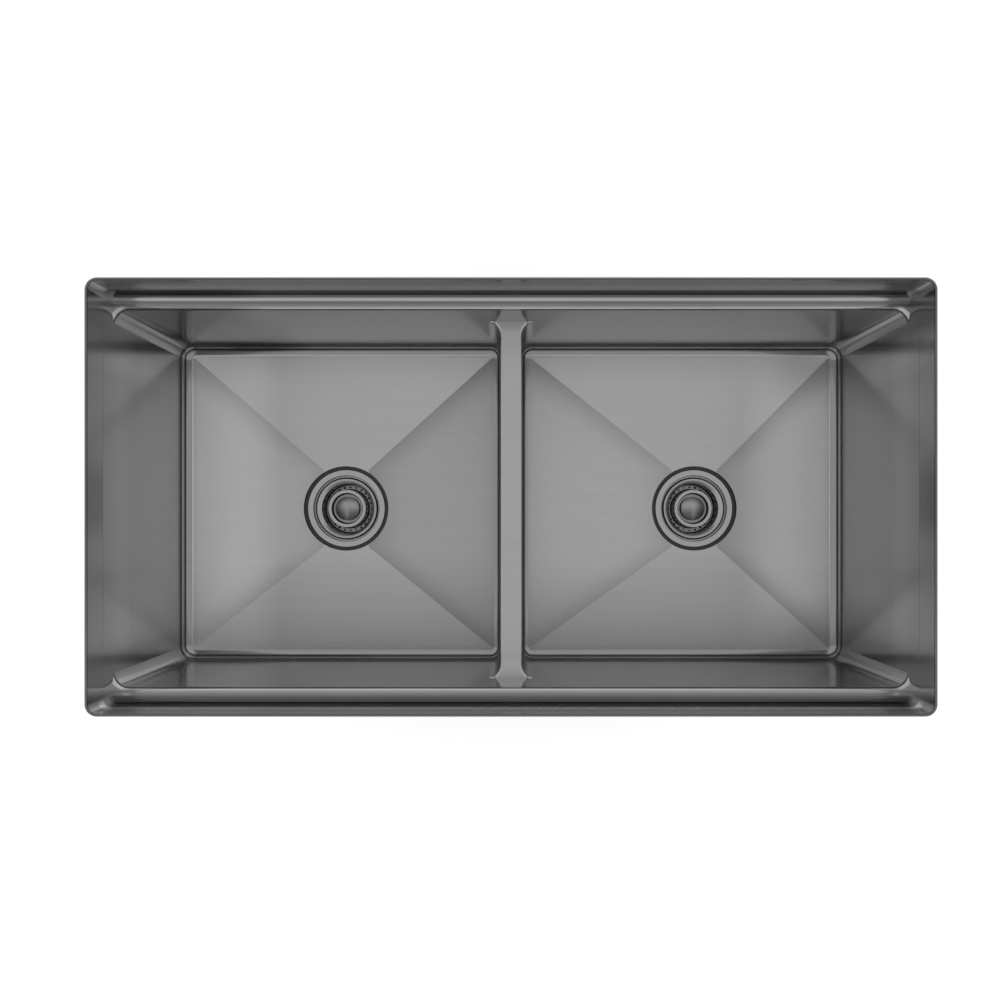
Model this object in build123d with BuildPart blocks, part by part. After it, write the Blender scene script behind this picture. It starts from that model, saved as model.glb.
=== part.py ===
from build123d import *
from math import sqrt
import os

os.makedirs("parts", exist_ok=True)

# Double bowl workstation sink in brushed sheet steel, with a basket strainer in each bowl.
# Millimetres.  +X is to the right, +Y to the back, +Z up.  The origin is the middle of the sink
# in the plane of the mounting flange's top face, where the underside of the worktop lies.

# ---- driving dimensions: the sheet steel tub --------------------------------------------------
inner_length = 859.0        # between the faces of the end walls
inner_width = 440.0         # between the faces of the front and back walls, above the ledge
sheet = 1.2                 # steel thickness
collar_height = 30.0        # from the worktop's underside to the rim: a 30 mm worktop
rim_corner_radius = 10.0
hem_thickness = 2.5         # the rim's sheet folded back on itself
hem_height = 10.0
seam_chamfer = 0.4          # on the collar's foot, where it is welded to the flange
rebate_depth = 0.4          # groove in the flange that the collar's foot stands in
rebate_margin = 0.3         # the groove's outer edge beyond the hem above it

ledge_drop = 19.0           # ledge below the flange face
ledge_width = 16.2
ledge_foot_radius = 7.7     # hollow curve where the wall above runs into the ledge
ledge_edge_radius = 5.4     # round edge where the ledge turns down into the bowl

floor_drop = 199.0          # edge of the bowl floor below the flange face
bowl_corner_radius = 17.0
bowl_floor_radius = 11.0
divider_width = 26.0
divider_drop = 70.0         # divider top below the flange face: a low divider
divider_edge_radius = 3.5
divider_foot_radius = 11.0  # hollow curve where the divider meets the floors
divider_corner_radius = 15.0  # upright corners of the bowls beside the divider

floor_fall = 5.0            # from the floor's edge to the drain
fall_length = 60.0          # flat rectangle in which the four slopes of a floor end
fall_width = 102.0
drain_depth_shift = -7.5    # drain centres in front of the sink's middle line
left_drain_shift = 2.7      # drain centre to the right of its bowl's middle
right_drain_shift = 20.9
recess_depth = 4.0          # round pressing that the strainer's flange lies in
recess_gap = 0.3            # between the recess's wall and the seal in it
drain_hole_gap = 3.0        # between the hole in the steel and the strainer's cup

end_flange = 18.5           # flange beyond the end walls
side_flange = 9.0           # flange beyond the front and back walls
flange_corner_radius = 15.0
bolt_hole_diameter = 6.0
bolt_inset = 7.0            # hole centres in from the flange's end
bolt_spacing = 300.0        # between the two holes of one end

# ---- rubber pads ------------------------------------------------------------------------------
pad_thickness = 3.0
pad_margin = 45.0           # from the pad's edge to the bowl's corner lines
pad_height = 105.0
pad_top_drop = 82.0         # top edge of the wall pads below the flange face
floor_pad_margin = 30.0
floor_pad_gap = 12.0        # left free round the recess

# ---- basket strainer --------------------------------------------------------------------------
flange_radius = 51.6
flange_thickness = 1.5
flange_rounding = 0.9
seal_margin = 4.1           # rubber that shows round the flange
gasket_thickness = 1.2
throat_radius = 43.0        # opening that the basket's lip drops into
throat_depth = 5.0
throat_wall = 0.9
cup_radius = 39.2          # the basket's lip lies on the step between throat and cup
cup_depth = 39.0
cup_foot_wall = 3.4
cup_floor = 2.2
outlet_radius = 17.5
spigot_radius = 21.0
spigot_length = 17.0
bar_width = 5.0
bar_height = 3.5
bar_drop = 1.0              # bar's top below the cup floor
hub_radius = 8.0
gasket_bore_clearance = 0.2
under_gasket_thickness = 3.0
friction_washer_thickness = 1.0
washer_width = 12.0         # of the under gasket, the friction washer and the lock nut
lock_nut_height = 9.0
lock_nut_lugs = 6
lug_width = 14.0
lug_depth = 4.0
thread_clearance = 0.15

tail_radius = 19.05         # 38.1 mm waste pipe
tail_wall = 1.2
tail_length = 100.0
tail_flange_thickness = 1.5
tail_neck_length = 4.0      # relief under the flange, inside the slip nut
tail_neck_relief = 0.5
tail_washer_thickness = 1.5
slip_nut_height = 15.0
slip_nut_lip = 2.5
slip_nut_wall = 4.5
slip_nut_wings = 6
wing_width = 7.0
wing_depth = 3.0

# ---- basket -----------------------------------------------------------------------------------
basket_clearance = 0.3      # between the basket and the strainer body
basket_sheet = 0.9
basket_bend = 1.5           # bend radius of the basket's sheet
basket_lip_radius = 40.3
basket_lip_drop = 1.5       # top of the lip below the strainer's flange
basket_lip_width = 3.5
basket_mouth_radius = 32.8
basket_slope_drop = 2.5
basket_floor_depth = 25.0   # floor of the ring-shaped trough below the strainer's flange
basket_dome_radius = 25.6   # raised middle of the basket
basket_dome_drop = 3.0
dish_radius = 20.1          # dish round the knob in the raised middle
dish_depth = 11.0
wall_hole_diameter = 3.6
wall_holes = 24
wall_hole_rows = 3
wall_row_pitch = 5.5
floor_hole_diameter = 3.0
floor_holes = 24
post_radius = 4.0
post_fit = 0.4              # running gap of the post in the hub
post_shoulder_radius = 6.0
stopper_radius = 21.0
stopper_foot_radius = 19.5
stopper_height = 9.0
stopper_stem_radius = 9.0
clip_thickness = 0.8
clip_radius = 6.0
clip_gap = 2.0
knob_radius = 15.8
knob_height = 6.5
knob_drop = 1.0             # knob's top below the strainer's flange
knob_edge = 2.0

# ---- derived places ---------------------------------------------------------------------------
half_length = inner_length / 2
half_width = inner_width / 2
half_divider = divider_width / 2
bowl_half_width = half_width - ledge_width
bowl_middle = (half_divider + half_length) / 2
body_radius = throat_radius + throat_wall                  # outside of the strainer's cup
drain_hole_radius = body_radius + drain_hole_gap
seal_radius = flange_radius + seal_margin
recess_radius = seal_radius + recess_gap
seat_z = -floor_drop - floor_fall - recess_depth           # steel round the drain hole
strainer_z = seat_z + gasket_thickness + flange_thickness  # top face of the strainer's flange
drains = {"left": -bowl_middle + left_drain_shift, "right": bowl_middle + right_drain_shift}
signs = {"left": -1, "right": 1}

# The trough runs this far past the end walls, and each bowl's hollow this far past the trough,
# before they are cut to each other. Arcs then run into walls as real edges and not as
# vanishing tips.
overrun = 0.1


def block(x_range, y_range, z_range):
    # A plain box between pairs of limits.
    with BuildPart() as body:
        with BuildSketch(Plane.XY.offset(z_range[0])):
            with Locations(((x_range[0] + x_range[1]) / 2, (y_range[0] + y_range[1]) / 2)):
                Rectangle(x_range[1] - x_range[0], y_range[1] - y_range[0])
        extrude(amount=z_range[1] - z_range[0])
    return body.part


def trough_space(grow):
    # The two bowls and the gap over the divider, without the divider, up to the ledge.
    # The mouth flares out over the round edge of the ledge.
    ledge_z = -ledge_drop - grow
    floor_z = -floor_drop - grow
    corner = bowl_corner_radius + grow
    length = 2 * (half_length + grow + overrun)
    width = 2 * (bowl_half_width + grow)
    flare = ledge_edge_radius - grow
    with BuildPart() as trough:
        with BuildSketch(Plane.XY.offset(floor_z)):
            RectangleRounded(length, width, corner)
        extrude(amount=ledge_z - floor_z)
        fillet(trough.faces().sort_by(Axis.Z)[0].edges(), bowl_floor_radius + grow)
        with BuildSketch(Plane.XY.offset(ledge_z)):
            Rectangle(length + 8 * flare, width + 8 * flare)
        extrude(amount=flare)
        shelf = trough.faces().filter_by(Axis.Z).sort_by(Axis.Z)[-2]
        fillet(shelf.inner_wires()[0].edges(), flare)
        keep = half_length + grow
        add(block((-keep, keep), (-inner_width, inner_width), (floor_z, ledge_z)), mode=Mode.INTERSECT)
    return trough.part


def bowl_hollows(grow):
    # The two hollows beside the divider, longer than the trough, and the space above them.
    # Their mouths flare out over the round edges of the divider's top.
    near = half_divider - grow
    far = half_length + grow + divider_corner_radius + 2 * bowl_floor_radius
    floor_z = -floor_drop - grow - overrun
    top_z = -divider_drop - grow
    half_span = bowl_half_width + grow + overrun
    flare = divider_edge_radius - grow
    with BuildPart() as hollows:
        with BuildSketch(Plane.XY.offset(floor_z)):
            with Locations(((near + far) / 2, 0), (-(near + far) / 2, 0)):
                RectangleRounded(far - near, 2 * half_span, divider_corner_radius + grow)
        extrude(amount=top_z - floor_z)
        fillet(hollows.faces().group_by(Axis.Z)[0].edges(), divider_foot_radius + grow)
        with BuildSketch(Plane.XY.offset(top_z)):
            Rectangle(2 * far + 8 * flare, 2 * half_span + 8 * flare)
        extrude(amount=-top_z)
        shelf = hollows.faces().filter_by(Axis.Z).group_by(Axis.Z)[-2][0]
        mouths = [edge for wire in shelf.inner_wires() for edge in wire.edges()]
        fillet(mouths, flare)
    return hollows.part


def floor_slopes(side, grow):
    # The four slopes of a bowl floor, from its edge down to the rectangle round the drain.
    sign = signs[side]
    widest_foot = max(bowl_floor_radius, divider_foot_radius)
    corner = max(bowl_corner_radius, divider_corner_radius) - min(bowl_floor_radius, divider_foot_radius)
    inset = widest_foot + 0.5 + max(corner, 0) * (1 - 1 / sqrt(2))
    inner_x, outer_x = half_divider + inset, half_length - inset
    half_depth = bowl_half_width - inset
    with BuildPart() as slopes:
        with BuildSketch(Plane.XY.offset(-floor_drop - grow)):
            with Locations((sign * (inner_x + outer_x) / 2, 0)):
                Rectangle(outer_x - inner_x, 2 * half_depth)
        with BuildSketch(Plane.XY.offset(-floor_drop - grow - floor_fall)):
            with Locations((drains[side], drain_depth_shift)):
                Rectangle(fall_length, fall_width)
        loft()
    return slopes.part


def basin_space(grow):
    # Everything inside the tub below the flange face: the faces you see for grow = 0, and the
    # faces of the steel's far side for grow = sheet.
    ledge_z = -ledge_drop - grow
    upper_length = 2 * (half_length + grow)
    upper_width = 2 * (half_width + grow)
    with BuildPart() as upper:
        with BuildSketch(Plane.YZ.offset(-half_length - grow)):
            with Locations((0, ledge_z / 2)):
                Rectangle(upper_width, -ledge_z)
        extrude(amount=upper_length)
        fillet(upper.faces().sort_by(Axis.Z)[0].edges().filter_by(Axis.X), ledge_foot_radius + grow)
        with BuildSketch(Plane.XY.offset(ledge_z)):
            RectangleRounded(upper_length, upper_width, rim_corner_radius + grow)
        extrude(amount=-ledge_z, mode=Mode.INTERSECT)
    with BuildPart() as space:
        add(trough_space(grow))
        add(bowl_hollows(grow), mode=Mode.INTERSECT)
        for side in signs:
            add(floor_slopes(side, grow))
            with BuildSketch(Plane.XY.offset(seat_z - grow)):
                with Locations((drains[side], drain_depth_shift)):
                    Circle(recess_radius + grow)
            extrude(amount=recess_depth + floor_fall)
        add(upper.part)
    return space.part


# ---- the tub: two pressed halves, butt welded under the middle of the divider -----------------
flange_length = inner_length + 2 * end_flange
flange_width = inner_width + 2 * side_flange
bolt_x = flange_length / 2 - bolt_inset
rebate_width = hem_thickness + rebate_margin

with BuildPart() as tub:
    add(basin_space(sheet))
    with BuildSketch(Plane.XY.offset(-sheet)):
        RectangleRounded(flange_length, flange_width, flange_corner_radius)
    extrude(amount=sheet)
    add(basin_space(0), mode=Mode.SUBTRACT)
    with BuildSketch(Plane.XY.offset(-rebate_depth)):
        RectangleRounded(inner_length + 2 * rebate_width, inner_width + 2 * rebate_width,
                         rim_corner_radius + rebate_width)
    extrude(amount=rebate_depth, mode=Mode.SUBTRACT)
    with BuildSketch(Plane.XY):
        with GridLocations(2 * bolt_x, bolt_spacing, 2, 2):
            Circle(bolt_hole_diameter / 2)
        for side in signs:
            with Locations((drains[side], drain_depth_shift)):
                Circle(drain_hole_radius)
    extrude(amount=2 * seat_z, mode=Mode.SUBTRACT)

for side in signs:
    with BuildPart() as bowl:
        add(tub.part)
        split(bisect_by=Plane.YZ, keep=Keep.TOP if side == "right" else Keep.BOTTOM)
    bowl.part.label = f"{side}_bowl"
    export_step(bowl.part, f"parts/{side}_bowl.step")

# ---- the collar that stands on the flange, with its folded rim --------------------------------
with BuildPart() as rim_frame:
    with BuildSketch(Plane.XY.offset(-rebate_depth)):
        RectangleRounded(inner_length + 2 * sheet, inner_width + 2 * sheet, rim_corner_radius + sheet)
        RectangleRounded(inner_length, inner_width, rim_corner_radius, mode=Mode.SUBTRACT)
    extrude(amount=rebate_depth + collar_height)
    with BuildSketch(Plane.XY.offset(collar_height)):
        RectangleRounded(inner_length + 2 * hem_thickness, inner_width + 2 * hem_thickness,
                         rim_corner_radius + hem_thickness)
        RectangleRounded(inner_length, inner_width, rim_corner_radius, mode=Mode.SUBTRACT)
    extrude(amount=-hem_height)
    fillet(rim_frame.faces().sort_by(Axis.Z)[-1].edges(), 0.45 * hem_thickness)
    foot_edges = rim_frame.faces().sort_by(Axis.Z)[0].inner_wires()[0].edges()
    chamfer(foot_edges, seam_chamfer)
rim_frame.part.label = "rim_frame"
export_step(rim_frame.part, "parts/rim_frame.step")

# ---- rubber pads that keep the steel from drumming --------------------------------------------
outer_y = bowl_half_width + sheet
outer_x = half_length + sheet
pad_bottom = -pad_top_drop - pad_height

for side, sign in signs.items():
    pad_near = sign * (half_divider + pad_margin)
    pad_far = sign * (half_length - pad_margin)
    wall_pads = {
        f"{side}_front_pad": ((pad_near, pad_far), (-outer_y - pad_thickness, -outer_y)),
        f"{side}_back_pad": ((pad_near, pad_far), (outer_y, outer_y + pad_thickness)),
        f"{side}_end_pad": ((sign * outer_x, sign * (outer_x + pad_thickness)),
                            (pad_margin - bowl_half_width, bowl_half_width - pad_margin)),
    }
    for pad_name, (x_limits, y_limits) in wall_pads.items():
        with BuildPart() as wall_pad:
            add(block(sorted(x_limits), y_limits, (pad_bottom, -pad_top_drop)))
        wall_pad.part.label = pad_name
        export_step(wall_pad.part, f"parts/{pad_name}.step")

    # The floor pad follows the four slopes and leaves the strainer free.
    with BuildPart() as floor_pad:
        add(floor_slopes(side, sheet + pad_thickness))
        pad_x = sorted((sign * (half_divider + floor_pad_margin), sign * (half_length - floor_pad_margin)))
        pad_y = (floor_pad_margin - bowl_half_width, bowl_half_width - floor_pad_margin)
        steel_z = -floor_drop - sheet
        add(block(pad_x, pad_y, (steel_z - pad_thickness, steel_z)))
        add(block(pad_x, pad_y, (seat_z - floor_fall - pad_thickness, steel_z)), mode=Mode.INTERSECT)
        add(floor_slopes(side, sheet), mode=Mode.SUBTRACT)
        with BuildSketch(Plane.XY.offset(steel_z)):
            with Locations((drains[side], drain_depth_shift)):
                Circle(recess_radius + floor_pad_gap)
        extrude(amount=seat_z, mode=Mode.SUBTRACT)
    floor_pad.part.label = f"{side}_floor_pad"
    export_step(floor_pad.part, f"parts/{side}_floor_pad.step")


# ---- the strainers: every piece is turned about its bowl's drain axis -------------------------
def drain_plane(side):
    # Upright plane through the drain axis, with its origin at the strainer's flange face.
    return Plane(origin=(drains[side], drain_depth_shift, strainer_z), x_dir=(1, 0, 0), z_dir=(0, -1, 0))


def turned(side, points):
    # A ring or disc turned about the drain axis from pairs of radius and height.
    with BuildPart() as body:
        with BuildSketch(drain_plane(side)):
            with BuildLine():
                Polyline(*points, close=True)
            make_face()
        revolve(axis=Axis((drains[side], drain_depth_shift, strainer_z), (0, 0, 1)))
    return body.part


def ring(side, inner_radius, outer_radius, top, height):
    return turned(side, [(inner_radius, top), (outer_radius, top),
                         (outer_radius, top - height), (inner_radius, top - height)])


cup_slope = cup_depth / 4                     # height of the cone at the foot of the cup
cone_radius = (cup_radius + outlet_radius) / 2 + 2
spigot_z = -cup_depth - cup_floor - spigot_length
bar_top = -cup_depth - bar_drop
gasket_bore = body_radius + gasket_bore_clearance
washer_radius = gasket_bore + washer_width
steel_under_z = -flange_thickness - gasket_thickness - sheet
under_gasket_z = steel_under_z - under_gasket_thickness
lock_nut_z = under_gasket_z - friction_washer_thickness
tail_flange_z = spigot_z - tail_washer_thickness
tail_end_z = tail_flange_z - tail_flange_thickness - tail_length
tail_neck_z = tail_flange_z - tail_flange_thickness - tail_neck_length
slip_nut_radius = spigot_radius + thread_clearance + slip_nut_wall
slip_nut_z = tail_flange_z - tail_flange_thickness - slip_nut_lip

for side in signs:
    plane = drain_plane(side)
    centre = (drains[side], drain_depth_shift)

    with BuildPart() as strainer_body:
        add(turned(side, [
            (throat_radius + flange_rounding, 0), (flange_radius - flange_rounding, 0),
            (flange_radius, -flange_rounding), (flange_radius, -flange_thickness),
            (body_radius, -flange_thickness), (body_radius, cup_slope - cup_depth),
            (cone_radius + cup_foot_wall, -cup_depth - cup_floor), (spigot_radius, -cup_depth - cup_floor),
            (spigot_radius, spigot_z), (outlet_radius, spigot_z), (outlet_radius, -cup_depth),
            (cone_radius, -cup_depth), (cup_radius, cup_slope - cup_depth),
            (cup_radius, -throat_depth), (throat_radius, -throat_depth),
            (throat_radius, -flange_rounding)]))
        with BuildSketch(Plane.XY.offset(strainer_z + bar_top)):
            with Locations(centre):
                Rectangle(2 * outlet_radius + 1, bar_width)
                Circle(hub_radius)
        extrude(amount=-bar_height)
        with BuildSketch(Plane.XY.offset(strainer_z + bar_top)):
            with Locations(centre):
                Circle(post_radius + post_fit)
        extrude(amount=-bar_height, mode=Mode.SUBTRACT)
    strainer_body.part.label = f"{side}_strainer_body"
    export_step(strainer_body.part, f"parts/{side}_strainer_body.step")

    with BuildPart() as lock_nut:
        add(ring(side, body_radius + thread_clearance, washer_radius, lock_nut_z, lock_nut_height))
        with BuildSketch(Plane.XY.offset(strainer_z + lock_nut_z)):
            with Locations(centre):
                with PolarLocations(washer_radius, lock_nut_lugs):
                    Rectangle(2 * lug_depth, lug_width)
        extrude(amount=-lock_nut_height, mode=Mode.SUBTRACT)
    lock_nut.part.label = f"{side}_lock_nut"
    export_step(lock_nut.part, f"parts/{side}_lock_nut.step")

    with BuildPart() as tailpiece:
        add(turned(side, [
            (tail_radius - tail_wall, tail_flange_z), (spigot_radius, tail_flange_z),
            (spigot_radius, tail_flange_z - tail_flange_thickness),
            (tail_radius - tail_neck_relief, tail_flange_z - tail_flange_thickness),
            (tail_radius - tail_neck_relief, tail_neck_z), (tail_radius, tail_neck_z),
            (tail_radius, tail_end_z), (tail_radius - tail_wall, tail_end_z)]))
    tailpiece.part.label = f"{side}_tailpiece"
    export_step(tailpiece.part, f"parts/{side}_tailpiece.step")

    with BuildPart() as slip_nut:
        add(turned(side, [
            (spigot_radius + thread_clearance, slip_nut_z + slip_nut_height),
            (slip_nut_radius, slip_nut_z + slip_nut_height), (slip_nut_radius, slip_nut_z),
            (tail_radius + thread_clearance, slip_nut_z),
            (tail_radius + thread_clearance, slip_nut_z + slip_nut_lip),
            (spigot_radius + thread_clearance, slip_nut_z + slip_nut_lip)]))
        with BuildSketch(Plane.XY.offset(strainer_z + slip_nut_z)):
            with Locations(centre):
                with PolarLocations(slip_nut_radius, slip_nut_wings):
                    Rectangle(2 * wing_depth, wing_width)
                Circle(slip_nut_radius - slip_nut_wall / 2, mode=Mode.SUBTRACT)
        extrude(amount=slip_nut_height)
    slip_nut.part.label = f"{side}_slip_nut"
    export_step(slip_nut.part, f"parts/{side}_slip_nut.step")

    plain_rings = {
        "flange_gasket": (drain_hole_radius, seal_radius, -flange_thickness, gasket_thickness),
        "under_gasket": (gasket_bore, washer_radius, steel_under_z, under_gasket_thickness),
        "friction_washer": (gasket_bore, washer_radius, under_gasket_z, friction_washer_thickness),
        "tailpiece_washer": (outlet_radius, spigot_radius, spigot_z, tail_washer_thickness),
    }
    for ring_name, (inner_radius, outer_radius, top, height) in plain_rings.items():
        with BuildPart() as plain_ring:
            add(ring(side, inner_radius, outer_radius, top, height))
        plain_ring.part.label = f"{side}_{ring_name}"
        export_step(plain_ring.part, f"parts/{side}_{ring_name}.step")

# ---- the baskets: each lifts straight up out of its strainer ----------------------------------
lip_top = -basket_lip_drop
slope_foot = lip_top - basket_slope_drop
dish_under = -dish_depth - basket_sheet
stopper_foot = basket_clearance - cup_depth
stopper_top = stopper_foot + stopper_height
clip_top = stopper_foot - basket_clearance
post_foot = bar_top - bar_height - clip_gap
knob_foot = -knob_drop - knob_height
lip_inner = basket_lip_radius - basket_lip_width
# The lip's rolled edge rests on the throat's step and stands proud by half a sheet.
roll_radius = (throat_depth - basket_clearance + lip_top + basket_sheet / 2) / 2
roll_centre = (basket_lip_radius - roll_radius, lip_top + basket_sheet / 2 - roll_radius)
trough_middle = (basket_mouth_radius + basket_dome_radius) / 2

for side in signs:
    centre = (drains[side], drain_depth_shift)

    # One sheet runs from the rolled lip down into a ring-shaped trough, up over the raised
    # middle and down into the dish round the knob.
    with BuildPart() as basket_cup:
        with BuildSketch(drain_plane(side)):
            with BuildLine():
                FilletPolyline((roll_centre[0], lip_top), (lip_inner, lip_top),
                               (basket_mouth_radius, slope_foot),
                               (basket_mouth_radius, -basket_floor_depth),
                               (basket_dome_radius, -basket_floor_depth),
                               (basket_dome_radius, -basket_dome_drop), (dish_radius, -basket_dome_drop),
                               (dish_radius, -dish_depth), (post_radius, -dish_depth), radius=basket_bend)
                offset(amount=basket_sheet, side=Side.LEFT, closed=True)
            make_face()
            with Locations(roll_centre):
                Circle(roll_radius)
        revolve(axis=Axis((*centre, strainer_z), (0, 0, 1)))
        with BuildSketch(Plane.XY.offset(strainer_z - basket_floor_depth - basket_sheet)):
            with Locations(centre):
                with PolarLocations(trough_middle, floor_holes):
                    Circle(floor_hole_diameter / 2)
        extrude(amount=2 * basket_sheet, mode=Mode.SUBTRACT)
        lowest_row = strainer_z - basket_floor_depth + basket_bend + wall_hole_diameter
        for row in range(wall_hole_rows):
            stagger = 180 / wall_holes * (row % 2)
            with Locations((*centre, lowest_row + row * wall_row_pitch)):
                with PolarLocations(basket_mouth_radius, wall_holes, start_angle=stagger):
                    Cylinder(wall_hole_diameter / 2, 4 * basket_sheet, rotation=(0, 90, 0),
                             mode=Mode.SUBTRACT)
    basket_cup.part.label = f"{side}_basket_cup"
    export_step(basket_cup.part, f"parts/{side}_basket_cup.step")

    with BuildPart() as basket_stopper:
        add(turned(side, [
            (post_radius, dish_under), (stopper_stem_radius, dish_under),
            (stopper_stem_radius, stopper_top), (stopper_radius, stopper_top - basket_sheet),
            (stopper_radius, (stopper_top + stopper_foot) / 2), (stopper_foot_radius, stopper_foot),
            (post_radius, stopper_foot)]))
    basket_stopper.part.label = f"{side}_basket_stopper"
    export_step(basket_stopper.part, f"parts/{side}_basket_stopper.step")

    with BuildPart() as basket_post:
        add(turned(side, [
            (0, knob_foot), (post_shoulder_radius, knob_foot),
            (post_shoulder_radius, -dish_depth), (post_radius, -dish_depth),
            (post_radius, post_foot + post_radius / 2), (post_radius / 2, post_foot), (0, post_foot)]))
    basket_post.part.label = f"{side}_basket_post"
    export_step(basket_post.part, f"parts/{side}_basket_post.step")

    with BuildPart() as basket_clip:
        add(ring(side, post_radius, clip_radius, clip_top + basket_clearance, clip_thickness))
        clip_z = strainer_z + clip_top
        add(block((centre[0], centre[0] + 2 * clip_radius),
                  (centre[1] - clip_gap / 2, centre[1] + clip_gap / 2),
                  (clip_z - 2, clip_z + 2)), mode=Mode.SUBTRACT)
    basket_clip.part.label = f"{side}_basket_clip"
    export_step(basket_clip.part, f"parts/{side}_basket_clip.step")

    # The knob is a low dome, part of a ball, over a bevelled foot.
    dome_foot = knob_foot + knob_edge
    dome_height = knob_height - knob_edge
    dome_radius = (knob_radius ** 2 + dome_height ** 2) / (2 * dome_height)
    with BuildPart() as basket_knob:
        with BuildSketch(drain_plane(side)):
            with BuildLine():
                Polyline((0, -knob_drop), (0, knob_foot), (knob_radius - knob_edge, knob_foot),
                         (knob_radius, dome_foot))
                RadiusArc((knob_radius, dome_foot), (0, -knob_drop), -dome_radius)
            make_face()
        revolve(axis=Axis((*centre, strainer_z), (0, 0, 1)))
    basket_knob.part.label = f"{side}_basket_knob"
    export_step(basket_knob.part, f"parts/{side}_basket_knob.step")
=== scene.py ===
import math

import bmesh
import bpy
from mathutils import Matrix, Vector


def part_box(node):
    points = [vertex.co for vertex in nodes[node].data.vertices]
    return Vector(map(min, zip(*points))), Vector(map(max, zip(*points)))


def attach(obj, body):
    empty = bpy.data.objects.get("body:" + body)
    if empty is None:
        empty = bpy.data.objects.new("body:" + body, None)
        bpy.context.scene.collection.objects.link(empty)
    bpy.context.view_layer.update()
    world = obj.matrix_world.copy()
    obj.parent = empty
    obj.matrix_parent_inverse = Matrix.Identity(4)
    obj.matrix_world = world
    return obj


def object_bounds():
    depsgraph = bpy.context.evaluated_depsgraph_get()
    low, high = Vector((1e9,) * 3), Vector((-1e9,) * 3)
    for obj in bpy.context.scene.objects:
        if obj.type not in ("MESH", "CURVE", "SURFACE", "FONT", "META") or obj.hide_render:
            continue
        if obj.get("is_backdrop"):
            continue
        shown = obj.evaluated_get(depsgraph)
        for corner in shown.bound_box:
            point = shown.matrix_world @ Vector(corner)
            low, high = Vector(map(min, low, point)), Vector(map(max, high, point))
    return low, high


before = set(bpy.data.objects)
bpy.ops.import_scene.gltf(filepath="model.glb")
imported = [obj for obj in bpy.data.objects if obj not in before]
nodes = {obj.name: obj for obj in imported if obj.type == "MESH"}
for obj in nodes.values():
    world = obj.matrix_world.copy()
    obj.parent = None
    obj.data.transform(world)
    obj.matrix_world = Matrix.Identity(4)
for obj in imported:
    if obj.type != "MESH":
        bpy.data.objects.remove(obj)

# A dark double bowl sink of brushed steel, seen from straight above. Metres, +Z up, +Y to the back.

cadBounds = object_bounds()
sides = ("left", "right")
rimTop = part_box("rim_frame")[1].z
print("frame loaded:", len(nodes), "nodes")

# The camera looks straight down from a point a little in front of the sink's middle.
cameraView = {
    "place": (0.001, -0.0248),
    "heightOverRim": 0.757,
    "lens": 26.94,
    "shift": (-0.012, 0.0215),
    "clip": (0.01, 20.0),
}


def makeCamera():
    data = bpy.data.cameras.new("camera")
    data.lens = cameraView["lens"]
    data.shift_x, data.shift_y = cameraView["shift"]
    data.clip_start, data.clip_end = cameraView["clip"]
    camera = bpy.data.objects.new("camera", data)
    camera.location = (*cameraView["place"], rimTop + cameraView["heightOverRim"])
    bpy.context.scene.collection.objects.link(camera)
    bpy.context.scene.camera = camera


makeCamera()
print("camera made")


class Shade:
    # A socket that Python can do sums with: each sum adds its Math node.
    def __init__(self, paint, socket):
        self.paint, self.socket = paint, socket

    def worked(self, operation, *values):
        return self.paint.add("Math", {"operation": operation}, dict(enumerate(values)))

    def __add__(self, other):
        return self.worked("ADD", self, other)

    def __sub__(self, other):
        return self.worked("SUBTRACT", self, other)

    def __rsub__(self, other):
        return self.worked("SUBTRACT", other, self)

    def __mul__(self, other):
        return self.worked("MULTIPLY", self, other)

    def __truediv__(self, other):
        return self.worked("DIVIDE", self, other)

    def __pow__(self, other):
        return self.worked("POWER", self, other)

    def __gt__(self, other):
        return self.worked("GREATER_THAN", self, other)

    def __lt__(self, other):
        return self.worked("LESS_THAN", self, other)

    def __neg__(self):
        return self * -1.0

    def __abs__(self):
        return self.worked("ABSOLUTE", self)

    def sign(self):
        return self.worked("SIGN", self)

    def cosine(self):
        return self.worked("COSINE", self)

    def held(self, low, high):
        return self.worked("MINIMUM", self.worked("MAXIMUM", self, low), high)

    def between(self, low, high):
        # 1 between the two values and 0 elsewhere.
        return (self > low) * (self < high)

    __radd__, __rmul__ = __add__, __mul__


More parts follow.
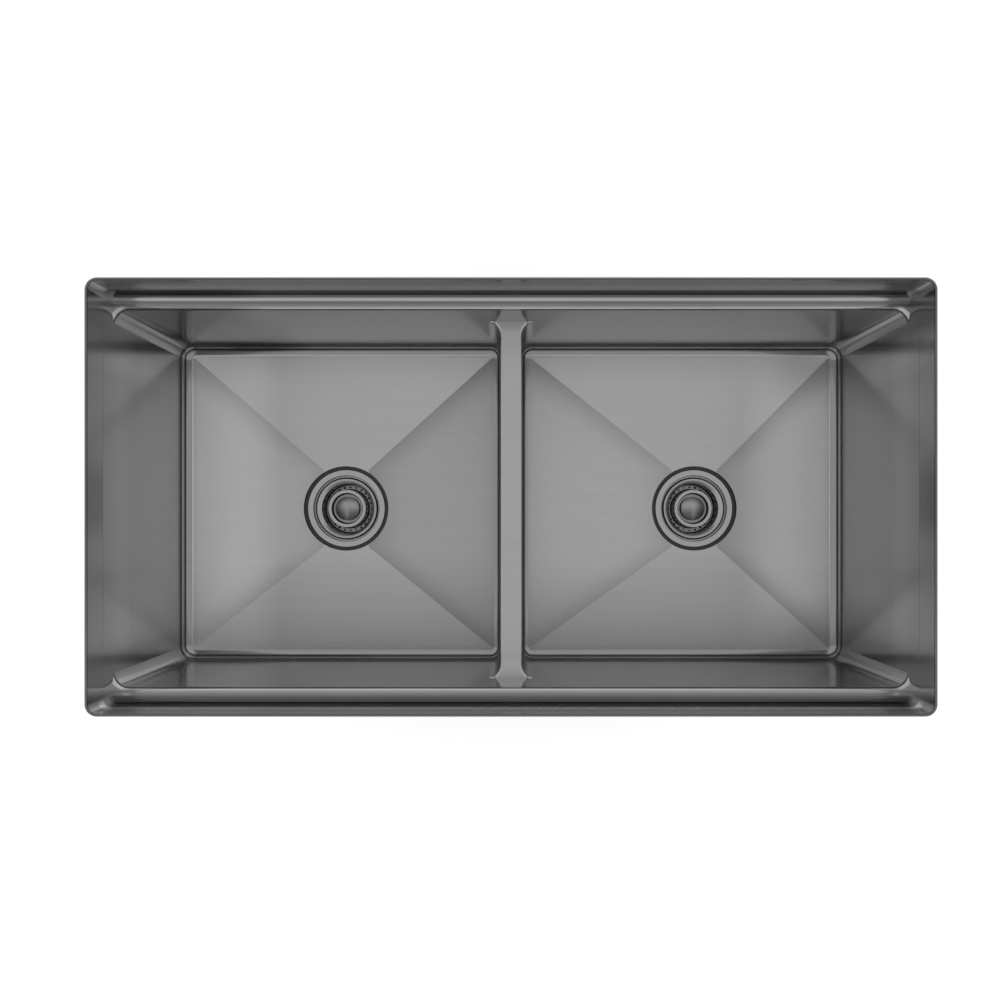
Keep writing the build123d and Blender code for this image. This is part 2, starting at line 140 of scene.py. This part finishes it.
class Paint:
    # One material or world with its nodes.
    def __init__(self, name, world=False):
        self.owner = (bpy.data.worlds if world else bpy.data.materials).new(name)
        self.owner.use_nodes = True
        self.tree = self.owner.node_tree
        self.tree.nodes.clear()
        self.output = self.tree.nodes.new("ShaderNodeOutputWorld" if world else "ShaderNodeOutputMaterial")

    def add(self, kind, settings=None, sockets=None, out=0):
        # Adds a node, sets it up, fills its sockets and hands back one output.
        node = self.tree.nodes.new("ShaderNode" + kind)
        for name, value in (settings or {}).items():
            setattr(node, name, value)
        for name, value in (sockets or {}).items():
            socket = node.inputs[name]
            if isinstance(value, Shade):
                self.tree.links.new(value.socket, socket)
            else:
                socket.default_value = value
        return Shade(self, node.outputs[out])

    def place(self):
        return self.add("TexCoord", out=3)

    def facing(self):
        return self.add("TexCoord", out=1)

    def split(self, vector):
        return [self.add("SeparateXYZ", {}, {0: vector}, out=axis) for axis in range(3)]

    def noise(self, place, scale, detail=2.0, roughness=0.5):
        return self.add("TexNoise", {}, {"Vector": place, "Scale": scale, "Detail": detail,
                                         "Roughness": roughness})

    def stretch(self, place, scale):
        return self.add("VectorMath", {"operation": "MULTIPLY"}, {0: place, 1: scale})

    def mixed(self, factor, first, second):
        return self.add("Mix", {"data_type": "RGBA"}, {0: factor, 6: first, 7: second}, out=2)

    def mixedPlace(self, factor, first, second):
        return self.add("Mix", {"data_type": "VECTOR"}, {0: factor, 4: first, 5: second}, out=1)

    def tinted(self, colour, amount):
        # A colour made lighter or darker by a number round 1.
        return self.add("VectorMath", {"operation": "SCALE"}, {0: colour, "Scale": amount})

    def bump(self, height, strength, distance):
        return self.add("Bump", {}, {"Height": height, "Strength": strength, "Distance": distance})

    def finish(self, surface):
        self.tree.links.new(surface.socket, self.output.inputs["Surface"])
        return self.owner


def rise(value, start, end, power=1.0):
    # 0 before start and 1 after end.
    slope = ((value - start) / (end - start)).held(0.0, 1.0)
    return slope if power == 1.0 else slope ** power


def change(value, band):
    # A change of tone whose full amount comes in from start to end.
    amount, start, end = band
    return amount * rise(value, start, end)


def varied(noise, amount):
    # Noise as a small change to either side of 0.
    return (noise - 0.5) * amount


white = (1.0, 1.0, 1.0, 1.0)

# Materials of the tub. The floors' four slopes meet in creases that run from the rectangle round
# each drain to the floor's corners.
floorPlan = {
    "drainX": 0.23035,            # middle of the two drains' distances from the sink's middle
    "drainShift": 0.0118,         # the right drain is further out, and the left one further in
    "drainY": -0.0075,
    "rectangle": (0.030, 0.051),  # half the rectangle in which the slopes end
    "dividerEdge": 0.026,         # edges of the flat floor
    "endEdge": 0.4165,
    "frontEdge": 0.190,
    "floorTop": -0.185,
    "filletTop": -0.178,
    "floorLevel": 0.99,           # upward part of a normal on a floor, and halfway up a fillet
    "filletMiddle": 0.55,
}

# Where a look holds three numbers, they are an amount and where it starts and ends.
# Painted light and shade on the floors' slopes and fillets.
slopeLook = {
    "rightShade": 0.86,           # slopes to the right of a drain
    "frontShade": 0.72,           # slopes in front of a drain, at their outer edge
    "frontPower": 0.8,
    "backShade": 1.30,
    "backPower": 3.0,
    "creaseShade": 0.78,
    "creaseSharpness": 3.2,
    "creasePower": 1.6,
    "frontPaintedShade": (-0.20, 0.075, 0.150),      # painted shade makes sideways slopes darker to the front
    "endPaintedLight": (1.30, 0.300, 0.410),         # and painted light makes every slope lighter to the end wall,
    "endPower": 1.3,
    "rightCorner": (-0.50, 0.120, 0.180),    # though less so in the right bowl's corners
    "filletShade": 0.66,
    "filletBrow": 0.50,           # painted light: how much lighter the upper half of a fillet is
}


def slopeShade(x, y):
    # How light each slope of a floor is, in painted light and shade: lighter towards the end
    # walls, and darker beside a crease and towards the front.
    plan, look = floorPlan, slopeLook
    sideSign = x.sign()
    dx = x - (sideSign * plan["drainX"] + plan["drainShift"])
    dy = y - plan["drainY"]
    outward = dx * sideSign > 0.0
    toEnd = plan["endEdge"] - plan["drainX"] - sideSign * plan["drainShift"]
    toDivider = plan["drainX"] + sideSign * plan["drainShift"] - plan["dividerEdge"]
    reachX = toEnd * outward + toDivider * (1.0 - outward)
    back = dy > 0.0
    reachY = plan["frontEdge"] - plan["drainY"] * (back * 2.0 - 1.0)
    halfX, halfY = plan["rectangle"]
    u = ((abs(dx) - halfX) / (reachX - halfX)).held(0.0, 1.0)
    v = ((abs(dy) - halfY) / (reachY - halfY)).held(0.0, 1.0)
    besides = u > v
    nearCrease = (1.0 - (u - v) * look["creaseSharpness"]).held(0.0, 1.0) ** look["creasePower"]
    right = dx > 0.0
    sideways = (1.0 - (1.0 - look["rightShade"]) * right - (1.0 - look["creaseShade"]) * nearCrease) \
        * (1.0 + change(-y, look["frontPaintedShade"]))
    lengthways = 1.0 - (1.0 - look["frontShade"]) * (1.0 - back) * v ** look["frontPower"] \
        + (look["backShade"] - 1.0) * back * v ** look["backPower"]
    glow, glowStart, glowEnd = look["endPaintedLight"]
    endPaintedLight = 1.0 + glow * rise(abs(x), glowStart, glowEnd, look["endPower"]) \
        * (1.0 + change(abs(y), look["rightCorner"]) * (x > 0.0))
    return (sideways * besides + lengthways * (1.0 - besides)) * endPaintedLight


def filletShade(z, nz):
    # Painted shade on the lower half of the curve between the floor and its walls, and painted light on
    # its upper half.
    low = z < floorPlan["filletTop"]
    middle = floorPlan["filletMiddle"]
    lower = low * nz.between(middle, floorPlan["floorLevel"])
    upper = low * (nz < middle)
    return 1.0 - (1.0 - slopeLook["filletShade"]) * lower + slopeLook["filletBrow"] * upper


# Painted light and shade on the walls.
wallLook = {
    "endShade": 1.10,
    "endFront": (0.70, 0.085, 0.145),        # painted light to the front, but less so in the corner
    "endFrontCorner": (-0.40, 0.160, 0.172),
    "endBack": (0.35, 0.130, 0.150),         # the same to the back, with the right wall darkest
    "endBackCorner": (-0.35, 0.162, 0.180),
    "endUpper": (-0.18, 0.030, 0.060),       # painted shade down the wall
    "endLower": -0.34,
    "lowerPart": (0.050, 0.160),
    "cornerFade": 0.75,                      # how far the corners' painted tones fade down the wall
    "frontShade": 1.16,
    "frontLeft": (0.10, 0.260, 0.300),
    "frontRight": (-0.18, 0.220, 0.300),
    "backShade": 0.80,
    "backRight": (0.30, 0.300, 0.370),
    "backLeft": (-0.48, 0.262, 0.305),
    "backLeftCorner": (-0.60, 0.355, 0.385),
    "endLean": 0.72,              # sideways part of a normal on an end wall
    "frontLean": (0.25, 0.70),    # the same where the front and back walls begin and are full
}


def endWallShade(x, y, z):
    look = wallLook
    lower = rise(-z, *look["lowerPart"])
    corners = change(-y, look["endFront"]) + change(-y, look["endFrontCorner"]) \
        + change(y, look["endBack"]) + change(y, look["endBackCorner"]) * (1.0 + (x > 0.0))
    return look["endShade"] * (1.0 + corners * (1.0 - look["cornerFade"] * lower)) \
        * (1.0 + change(-z, look["endUpper"]) + look["endLower"] * lower)


def frontWallShade(x):
    return wallLook["frontShade"] * (1.0 + change(-x, wallLook["frontLeft"])
                                     + change(x, wallLook["frontRight"]))


def backWallShade(x):
    left = change(-x, wallLook["backLeft"]) * (1.0 + change(-x, wallLook["backLeftCorner"]))
    return wallLook["backShade"] * (1.0 + change(x, wallLook["backRight"]) + left)


# Painted shade on the divider's top, and painted light towards its ends.
dividerLook = {
    "shade": 0.94,
    "height": (-0.090, -0.050),   # the divider's top lies between these
    "level": 0.90,
    "end": (0.20, 0.180, 0.194),
}

# Painted shade on the ledges' flats and in their hollow feet, and painted light on the back ledge's round
# edge.
ledgeLook = {
    "height": (-0.026, -0.006),   # the ledges with their round edges lie between these
    "level": 0.12,
    "flatShade": 0.48,
    "frontFlat": (0.55, 0.2062, 0.2076),
    "frontInner": (0.80, 0.2112, 0.2132),
    "frontFootEdge": 0.2146,
    "backFlat": (1.00, 0.2058, 0.2078),
    "backMiddle": (-0.50, 0.2085, 0.2100),
    "backInner": (0.2125, 0.2135),
    "footShade": 0.16,            # painted shade in the hollow curve between a ledge and its wall
    "frontFoot": (1.00, 0.2140, 0.2153),
    "backFoot": (0.80, 0.2152, 0.2167),
    "brow": 0.80,                 # painted light: how much lighter the back ledge's round edge is
    "browLevel": 0.35,
    "browY": (0.100, 0.2056),
    "browEnd": 0.380,
}


def ledgeShade(x, y, z, nz):
    look = ledgeLook
    onLedge = z.between(*look["height"]) * (nz > look["level"])
    foot = change(-y, look["frontFoot"]) + change(y, look["backFoot"])
    front = (change(-y, look["frontFlat"]) + change(-y, look["frontInner"])) * (-y < look["frontFootEdge"])
    back = change(y, look["backFlat"]) * (1.0 + change(y, look["backMiddle"])) \
        * (1.0 - rise(y, *look["backInner"]))
    brow = (nz > look["browLevel"]) * y.between(*look["browY"]) * (abs(x) < look["browEnd"])
    return 1.0 - (1.0 - look["footShade"]) * (onLedge * foot) \
        - (1.0 - look["flatShade"]) * (onLedge * (front + back)) + look["brow"] * (onLedge * brow)


rimLook = {
    "topShade": 0.38,
    "topDepth": 0.0022,           # how far the painted shade on the folded edge's top reaches down
    "endMiddle": -0.30,           # painted shade darkens the end walls in their middle
    "endMiddleEdge": (0.020, 0.050),
    "frontFoot": 2.40,            # and painted light makes the front wall lighter at its foot
    "frontFootTop": (0.004, 0.012),
}

steelLook = {
    "colour": (0.356, 0.356, 0.361),
    "metallic": 0.92,
    "roughness": 0.17,
    "floorRoughness": 0.34,
    "brushFine": (22.0, 1500.0, 1500.0),     # strokes per metre along and across the sink's length
    "brushBroad": (5.0, 210.0, 210.0),
    "cloudScale": 7.0,
    "shadeChanges": (0.14, 0.08, 0.06),      # by fine strokes, broad ones and clouds
    "roughChanges": (0.10, 0.04),            # by fine strokes and clouds
    "reliefShares": (0.6, 0.4),              # of fine and broad strokes
    "relief": (0.30, 0.00004),               # strength and depth
    "bowlMiddle": (0.221, 0.0, 0.1),         # faces that look to this point are bare steel
}

coatLook = {
    "colour": (0.060, 0.061, 0.063),
    "grain": 900.0,
    "patches": 16.0,
    "shade": 0.45,
    "shadeChanges": (0.8, 0.5),              # by grain and patches
    "roughness": 0.62,
    "roughChange": 0.2,
    "relief": 3.0,
}


def tubSteel(name, rim=False):
    # Brushed steel on the faces that look into the bowls, with painted light and shade over it,
    # and a sprayed coat on the far side.
    paint = Paint(name)
    look, coat, plan = steelLook, coatLook, floorPlan
    place, facing = paint.place(), paint.facing()
    x, y, z = paint.split(place)
    nx, ny, nz = paint.split(facing)
    middleX, middleY, middleZ = look["bowlMiddle"]
    bowlMiddle = paint.add("CombineXYZ", {}, {0: x.sign() * middleX, 1: middleY, 2: middleZ})
    inward = paint.add("VectorMath", {"operation": "SUBTRACT"}, {0: bowlMiddle, 1: place})
    looksIn = paint.add("VectorMath", {"operation": "DOT_PRODUCT"}, {0: inward, 1: facing}, out=1) > 0.0

    endWall = abs(nx) > wallLook["endLean"]
    frontWall = rise(ny, *wallLook["frontLean"])
    backWall = rise(-ny, *wallLook["frontLean"])
    floor = (nz > plan["floorLevel"]) * (z < plan["floorTop"])
    dividerTop = (nz > dividerLook["level"]) * z.between(*dividerLook["height"])

    fineX, fineY, fineZ = look["brushFine"]
    broadX, broadY, broadZ = look["brushBroad"]
    fineScale = paint.mixedPlace(endWall, (fineX, fineY, fineZ), (fineY, fineX, fineZ))
    broadScale = paint.mixedPlace(endWall, (broadX, broadY, broadZ), (broadY, broadX, broadZ))
    strokes = paint.noise(paint.stretch(place, fineScale), 1.0, 3.0, 0.6)
    bands = paint.noise(paint.stretch(place, broadScale), 1.0)
    cloud = paint.noise(place, look["cloudScale"])
    byStrokes, byBands, byCloud = look["shadeChanges"]
    shade = 1.0 + varied(strokes, byStrokes) + varied(bands, byBands) + varied(cloud, byCloud)

    # Painted light and shade: on the rim by its own look, on the tub by its walls, divider, floors,
    # fillets and ledges.
    if rim:
        footPaintedLight = 1.0 + rimLook["frontFoot"] * (1.0 - rise(z, *rimLook["frontFootTop"]))
        shade = shade * (1.0 + (endWallShade(x, y, z) - 1.0) * endWall
                         + (frontWallShade(x) * footPaintedLight - 1.0) * frontWall)
        shade = shade * (1.0 - (1.0 - rimLook["topShade"]) * (z > rimTop - rimLook["topDepth"])) \
            * (1.0 + rimLook["endMiddle"] * endWall * (1.0 - rise(abs(y), *rimLook["endMiddleEdge"])))
    else:
        dividerShade = dividerLook["shade"] + change(abs(y), dividerLook["end"])
        shade = shade * (1.0 + (endWallShade(x, y, z) - 1.0) * endWall
                         + (frontWallShade(x) - 1.0) * frontWall + (backWallShade(x) - 1.0) * backWall
                         + (dividerShade - 1.0) * dividerTop)
        shade = shade * (slopeShade(x, y) * floor + (1.0 - floor)) * filletShade(z, nz) \
            * ledgeShade(x, y, z, nz)

    grain = paint.noise(place, coat["grain"])
    patches = paint.noise(place, coat["patches"], 4.0, 0.6)
    byGrain, byPatches = coat["shadeChanges"]
    coatShade = coat["shade"] + grain * byGrain + varied(patches, byPatches)
    colour = paint.mixed(looksIn, paint.tinted(coat["colour"], coatShade),
                         paint.tinted(look["colour"], shade))
    roughByStrokes, roughByCloud = look["roughChanges"]
    steelRough = look["roughness"] + (look["floorRoughness"] - look["roughness"]) * (floor + dividerTop) \
        + varied(strokes, roughByStrokes) + varied(cloud, roughByCloud)
    coatRough = coat["roughness"] + varied(grain, coat["roughChange"])
    fineShare, broadShare = look["reliefShares"]
    height = (strokes * fineShare + bands * broadShare) * looksIn \
        + grain * coat["relief"] * (1.0 - looksIn)
    return paint.finish(paint.add("BsdfPrincipled", {}, {
        "Base Color": colour,
        "Metallic": looksIn * look["metallic"],
        "Roughness": steelRough * looksIn + coatRough * (1.0 - looksIn),
        "Normal": paint.bump(height, *look["relief"])}))


turnedLook = {
    "strainer": {"colour": (0.30, 0.30, 0.305), "roughness": 0.22, "rings": 900.0},
    "basket": {"colour": (0.31, 0.31, 0.315), "roughness": 0.22, "rings": 900.0,
               "trough": (0.0258, 0.0325), "troughShade": 0.55,
               "dish": (0.0158, 0.0198), "dishShade": 0.62},
    "knob": {"colour": (0.28, 0.28, 0.285), "roughness": 0.36, "rings": 1400.0,
             "knobPaintedShade": 0.60, "knobShadeEdge": (-0.004, 0.006), "paintedHighlight": 0.60, "paintedHighlightWidth": 0.0065},
    "nut": {"colour": (0.30, 0.30, 0.29), "roughness": 0.48, "rings": 500.0},
    "pipe": {"colour": (0.55, 0.55, 0.56), "roughness": 0.14, "rings": 300.0},
}
weldLook = {"colour": (0.26, 0.25, 0.24), "roughness": 0.42, "rings": 260.0}

latheMarks = {
    "cloudScale": 60.0,
    "shadeChanges": (0.18, 0.10),            # by rings and clouds
    "roughChanges": (0.10, 0.06),
    "relief": (0.25, 0.00004),
    "zoneEdge": 0.0006,                      # half the width over which a zone's painted shade comes in
}


def turnedMetal(name, look, centre):
    # Metal with fine rings round the drain's axis, as the lathe leaves it. A basket has painted
    # shade in its trough and dish. A knob has painted shade on its front half, with a painted highlight
    # down its middle.
    paint = Paint(name)
    marks = latheMarks
    place = paint.place()
    away = paint.add("VectorMath", {"operation": "SUBTRACT"}, {0: place, 1: (*centre, 0.0)})
    flat = paint.stretch(away, (1.0, 1.0, 0.0))
    radius = paint.add("VectorMath", {"operation": "LENGTH"}, {0: flat}, out=1)
    height = paint.split(place)[2]
    ringPlace = paint.add("CombineXYZ", {}, {0: radius * look["rings"], 1: height * look["rings"], 2: 0.0})
    rings = paint.noise(ringPlace, 1.0, 2.0, 0.6)
    cloud = paint.noise(place, marks["cloudScale"])
    byRings, byCloud = marks["shadeChanges"]
    shade = 1.0 + varied(rings, byRings) + varied(cloud, byCloud)
    # Painted shade in the basket's trough and dish.
    for zone in ("trough", "dish"):
        if zone in look:
            inner, outer = look[zone]
            edge = marks["zoneEdge"]
            within = rise(radius, inner - edge, inner + edge)
            beyond = rise(radius, outer - edge, outer + edge)
            shade = shade * (1.0 - (1.0 - look[zone + "Shade"]) * (within * (1.0 - beyond)))
    # Painted shade over the knob's front half, with a painted highlight down its middle.
    if "knobPaintedShade" in look:
        sideways, forward = paint.split(away)[:2]
        paintedHighlight = look["paintedHighlight"] * rise(-abs(sideways), -look["paintedHighlightWidth"], 0.0, 2.0)
        shade = shade * (1.0 - look["knobPaintedShade"] * rise(-forward, *look["knobShadeEdge"]) * (1.0 - paintedHighlight))
    roughByRings, roughByCloud = marks["roughChanges"]
    return paint.finish(paint.add("BsdfPrincipled", {}, {
        "Base Color": paint.tinted(look["colour"], shade),
        "Metallic": 1.0,
        "Roughness": look["roughness"] + varied(rings, roughByRings) + varied(cloud, roughByCloud),
        "Normal": paint.bump(rings, *marks["relief"])}))


softLook = {
    "pad": {"colour": (0.040, 0.040, 0.043), "roughness": 0.80, "grain": 700.0, "depth": 0.00012,
            "dimple": 0.006},
    "seal": {"colour": (0.014, 0.014, 0.015), "roughness": 0.55, "grain": 500.0, "depth": 0.00004},
    "fibre": {"colour": (0.34, 0.25, 0.16), "roughness": 0.85, "grain": 900.0, "depth": 0.00006},
    "plastic": {"colour": (0.62, 0.62, 0.60), "roughness": 0.42, "grain": 260.0, "depth": 0.00003},
}

mouldMarks = {
    "cloudScale": 22.0,
    "shadeChanges": (0.30, 0.25),            # by grain and clouds
    "roughChanges": (0.15, 0.08),
    "relief": 0.6,
    "dimpleEdge": (0.05, 0.65),
    # painted shade in the dimples
    "dimpleShade": 0.35,
    "dimpleRelief": (0.4, 2.4),              # of the grain round the dimples and of the dimples
}


def softMaterial(name, look):
    # Rubber, fibre or plastic with a fine moulded grain and slight cloudiness. The pads are
    # pressed with a field of small dimples, darkened with painted shade.
    paint = Paint(name)
    marks = mouldMarks
    place = paint.place()
    grain = paint.noise(place, look["grain"], 3.0, 0.6)
    cloud = paint.noise(place, marks["cloudScale"], 3.0)
    byGrain, byCloud = marks["shadeChanges"]
    shade = 1.0 + varied(grain, byGrain) + varied(cloud, byCloud)
    height = grain
    if "dimple" in look:
        turn = math.tau / look["dimple"]
        waves = [(axis * turn).cosine() for axis in paint.split(place)]
        dimple = rise((waves[0] + waves[1] + waves[2]) / 3.0, *marks["dimpleEdge"])
        grainRelief, dimpleRelief = marks["dimpleRelief"]
        height = grain * grainRelief - dimple * dimpleRelief
        shade = shade * (1.0 - marks["dimpleShade"] * dimple)
    roughByGrain, roughByCloud = marks["roughChanges"]
    return paint.finish(paint.add("BsdfPrincipled", {}, {
        "Base Color": paint.tinted(look["colour"], shade),
        "Roughness": look["roughness"] + varied(grain, roughByGrain) + varied(cloud, roughByCloud),
        "Normal": paint.bump(height, marks["relief"], look["depth"])}))


steel = tubSteel("brushedSteel")
softs = {name: softMaterial(name + "Material", look) for name, look in softLook.items()}
drainMiddle = {}
for side in sides:
    low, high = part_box(side + "_strainer_body")
    drainMiddle[side] = ((low + high) / 2).xy
turned = {(side, name): turnedMetal(side + name.title(), look, drainMiddle[side])
          for side in sides for name, look in turnedLook.items()}
weldMetal = turnedMetal("weldMetal", weldLook, (0.0, 0.0))
nodeFinish = {
    "strainer_body": "strainer", "basket_cup": "basket", "basket_post": "strainer",
    "basket_clip": "strainer", "basket_knob": "knob", "lock_nut": "nut", "tailpiece": "pipe",
    "front_pad": "pad", "back_pad": "pad", "end_pad": "pad", "floor_pad": "pad",
    "flange_gasket": "seal", "under_gasket": "seal", "tailpiece_washer": "seal",
    "basket_stopper": "seal", "friction_washer": "fibre", "slip_nut": "plastic",
}


def dress(piece, material):
    piece.data.materials.clear()
    piece.data.materials.append(material)


for side in sides:
    dress(nodes[side + "_bowl"], steel)
    for part, finishName in nodeFinish.items():
        dress(nodes[f"{side}_{part}"], softs.get(finishName) or turned[side, finishName])
dress(nodes["rim_frame"], tubSteel("rimSteel", rim=True))
print("materials made")


# Pieces that the plain solids leave out: the welds at the collar's foot and at the divider's ends,
# the seal under each basket's lip, which also stands in for the shadow in the gap round it, and the
# threads.
def addPiece(name, points, faces, material, body, slotName):
    mesh = bpy.data.meshes.new(name)
    mesh.from_pydata(points, [], faces)
    mesh.validate()
    work = bmesh.new()
    work.from_mesh(mesh)
    bmesh.ops.recalc_face_normals(work, faces=work.faces)
    work.to_mesh(mesh)
    work.free()
    for face in mesh.polygons:
        face.use_smooth = True
    piece = bpy.data.objects.new(name, mesh)
    bpy.context.scene.collection.objects.link(piece)
    dress(piece, material)
    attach(piece, body)


def sweep(rings, closed):
    # Joins equal rings of points into one skin: a loop, or a strip with its ends capped.
    size = len(rings[0])
    points = [point for ring in rings for point in ring]
    spans = len(rings) if closed else len(rings) - 1
    faces = []
    for span in range(spans):
        here, there = span * size, (span + 1) % len(rings) * size
        for k in range(size):
            following = (k + 1) % size
            faces.append((here + k, here + following, there + following, there + k))
    if not closed:
        faces.append(tuple(range(size))[::-1])
        faces.append(tuple(range((len(rings) - 1) * size, len(rings) * size)))
    return points, faces


def direction(angle):
    return Vector((math.cos(angle), math.sin(angle)))


weld = {
    "halfLength": 0.4307,         # outside of the collar's foot
    "halfWidth": 0.2212,
    "corner": 0.0112,
    "leg": 0.0021,                # how far the bead reaches up the collar and out on the flange
    "bulge": (0.68, 0.42),        # the round face between the legs' ends, in legs
    "sunk": 0.0003,               # how far the bead reaches into the steel
    "land": 0.0001,               # thickness of its two edges
    "ripple": 0.00022,
    "pitch": 0.0026,
    "step": 0.0009,
}


def roundedPath(halfLength, halfWidth, corner, step):
    # Points and outward directions along a rectangle with round corners.
    path = []
    corners = ((1, 1), (-1, 1), (-1, -1), (1, -1))
    for turn, (signX, signY) in enumerate(corners):
        middle = Vector((signX * (halfLength - corner), signY * (halfWidth - corner)))
        start = turn * math.pi / 2
        count = max(4, round(corner * math.pi / 2 / step))
        for k in range(count + 1):
            out = direction(start + math.pi / 2 * k / count)
            path.append((middle + out * corner, out))
        nextX, nextY = corners[(turn + 1) % 4]
        goal = Vector((nextX * (halfLength - corner), nextY * (halfWidth - corner))) + out * corner
        begin = path[-1][0]
        run = goal - begin
        pieces = round(run.length / step)
        path += [(begin + run * (k / pieces), out) for k in range(1, pieces)]
    return path


def makeWeld():
    sunk, land = weld["sunk"], weld["land"]
    far, near = weld["bulge"]
    rings, travelled, last = [], 0.0, None
    for spot, out in roundedPath(weld["halfLength"], weld["halfWidth"], weld["corner"], weld["step"]):
        travelled += (spot - last).length if last else 0.0
        last = spot
        leg = weld["leg"] + weld["ripple"] * math.sin(travelled / weld["pitch"] * math.tau)
        profile = ((-sunk, -sunk), (leg, -sunk), (leg, land), (leg * far, leg * near),
                   (leg * near, leg * far), (land, leg), (-sunk, leg))
        rings.append([(*(spot + out * outward), up) for outward, up in profile])
    addPiece("collar_weld", *sweep(rings, True), weldMetal, "root", "gunmetal_steel")


threads = {
    "cup": {"radius": 0.0439, "low": -0.2330, "high": -0.2225, "pitch": 0.0021, "height": 0.0007},
    "spigot": {"radius": 0.0210, "low": -0.2538, "high": -0.2475, "pitch": 0.0018, "height": 0.0006},
}

threadShape = {
    "stepsPerTurn": 90,
    "fadeSteps": 40,              # over which the ridge grows and fades out
    "sunk": 0.0002,
    "halfFoot": 0.46,             # half the ridge's width at its foot, in pitches
    "crestShare": 0.3,            # its width at the crest, of that at the foot
}


def makeThread(side, name, look):
    # A ridge that winds up round the strainer's axis and fades out at both ends.
    shape = threadShape
    steps = shape["stepsPerTurn"]
    turns = (look["high"] - look["low"]) / look["pitch"] - 1
    count = round(turns * steps)
    middle = drainMiddle[side]
    radius, foot = look["radius"], look["radius"] - shape["sunk"]
    half = look["pitch"] * shape["halfFoot"]
    crestHalf = half * shape["crestShare"]
    rings = []
    for k in range(count + 1):
        fade = min(1.0, k / shape["fadeSteps"], (count - k) / shape["fadeSteps"])
        crest = radius + look["height"] * fade
        height = look["low"] + look["pitch"] * (0.5 + k / steps)
        out = direction(k / steps * math.tau)
        profile = ((foot, -half), (radius, -half), (crest, -crestHalf), (crest, crestHalf),
                   (radius, half), (foot, half))
        rings.append([(*(middle + out * reach), height + lift) for reach, lift in profile])
    addPiece(f"{side}_{name}_thread", *sweep(rings, False), turned[side, "strainer"], "root",
             "strainer_steel")


# A black rubber seal ring under each basket's lip, which also stands in for the shadow in the gap round
# the lip.
shadowSeal = {
    "radius": 0.04098,            # just outside the basket's lip
    "halfWidth": 0.00062,
    "halfHeight": 0.00085,
    "foot": -0.2103,              # step of the throat
    "steps": 160,
    "sections": 12,
}


def makeShadowSeal(side):
    middle = drainMiddle[side]
    rings = []
    for k in range(shadowSeal["steps"]):
        out = direction(k / shadowSeal["steps"] * math.tau)
        ring = []
        for section in range(shadowSeal["sections"]):
            lean = direction(section / shadowSeal["sections"] * math.tau)
            radius = shadowSeal["radius"] + shadowSeal["halfWidth"] * lean.x
            height = shadowSeal["foot"] + shadowSeal["halfHeight"] * (1.0 + lean.y)
            ring.append((*(middle + out * radius), height))
        rings.append(ring)
    addPiece(f"{side}_basket_shadow_seal", *sweep(rings, True), softs["seal"], "root", "seal_rubber")


dividerWeld = {
    "start": (0.0190, 0.2030),    # where the rounded end of the divider's top runs into the wall
    "end": (0.0330, 0.2050),
    "height": -0.0702,
    "radius": (0.0019, 0.0005),   # at its start and end
    "steps": 24,
    "sections": 10,
    "corners": {"back_left": (-1, 1), "back_right": (1, 1), "front_left": (-1, -1),
                "front_right": (1, -1)},
}


def makeDividerWeld(name, signX, signY):
    # The ground weld that carries a corner of the divider's top out along the wall.
    (startX, startY), (endX, endY) = dividerWeld["start"], dividerWeld["end"]
    startRadius, endRadius = dividerWeld["radius"]
    rings = []
    for k in range(dividerWeld["steps"] + 1):
        t = k / dividerWeld["steps"]
        x = startX + (endX - startX) * t
        y = startY + (endY - startY) * (1 - (1 - t) ** 2)
        radius = startRadius + (endRadius - startRadius) * t
        ring = []
        for section in range(dividerWeld["sections"]):
            out = direction(section / dividerWeld["sections"] * math.tau) * radius
            ring.append((signX * x, signY * (y + out.x), dividerWeld["height"] + out.y))
        rings.append(ring)
    addPiece(f"{name}_divider_weld", *sweep(rings, False), steel, "root", "gunmetal_steel")


makeWeld()
for name, signs in dividerWeld["corners"].items():
    makeDividerWeld(name, *signs)
for side in sides:
    makeShadowSeal(side)
    for name, look in threads.items():
        makeThread(side, name, look)
print("welds, seals and threads made")

# A pale floor under the sink and an even sky.
studio = {
    "sky": 1.0,                   # 1 is white
    "floorColour": 0.78,
    "speckle": 0.01,
    "speckleScale": 40.0,
    "floorGlow": 0.42,            # seen by the camera and in mirrors only, which whitens the floor
    "floorSize": 12.0,
    "floorGap": 0.0005,           # between the pipes' ends and the floor
}


def makeFloor():
    paint = Paint("floorPaint")
    speckle = paint.noise(paint.place(), studio["speckleScale"])
    pale = paint.tinted(white[:3], studio["floorColour"] + varied(speckle, studio["speckle"]))
    matt = paint.add("BsdfDiffuse", {}, {"Color": pale})
    seen = paint.add("LightPath", out="Is Camera Ray") + paint.add("LightPath", out="Is Glossy Ray")
    glow = paint.add("Emission", {}, {"Color": white, "Strength": seen * studio["floorGlow"]})
    both = paint.add("AddShader", {}, {0: matt, 1: glow})
    mesh = bpy.data.meshes.new("floor")
    half = studio["floorSize"] / 2
    low = cadBounds[0].z - studio["floorGap"]
    mesh.from_pydata([(-half, -half, low), (half, -half, low), (half, half, low), (-half, half, low)],
                     [], [(0, 1, 2, 3)])
    floor = bpy.data.objects.new("floor", mesh)
    bpy.context.scene.collection.objects.link(floor)
    dress(floor, paint.finish(both))
    floor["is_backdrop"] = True


def makeSky():
    paint = Paint("sky", world=True)
    bpy.context.scene.world = paint.finish(paint.add("Background", {}, {
        "Color": white, "Strength": studio["sky"]}))


makeFloor()
makeSky()
bpy.context.scene.view_settings.view_transform = "Standard"
print("floor and light made")

low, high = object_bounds()
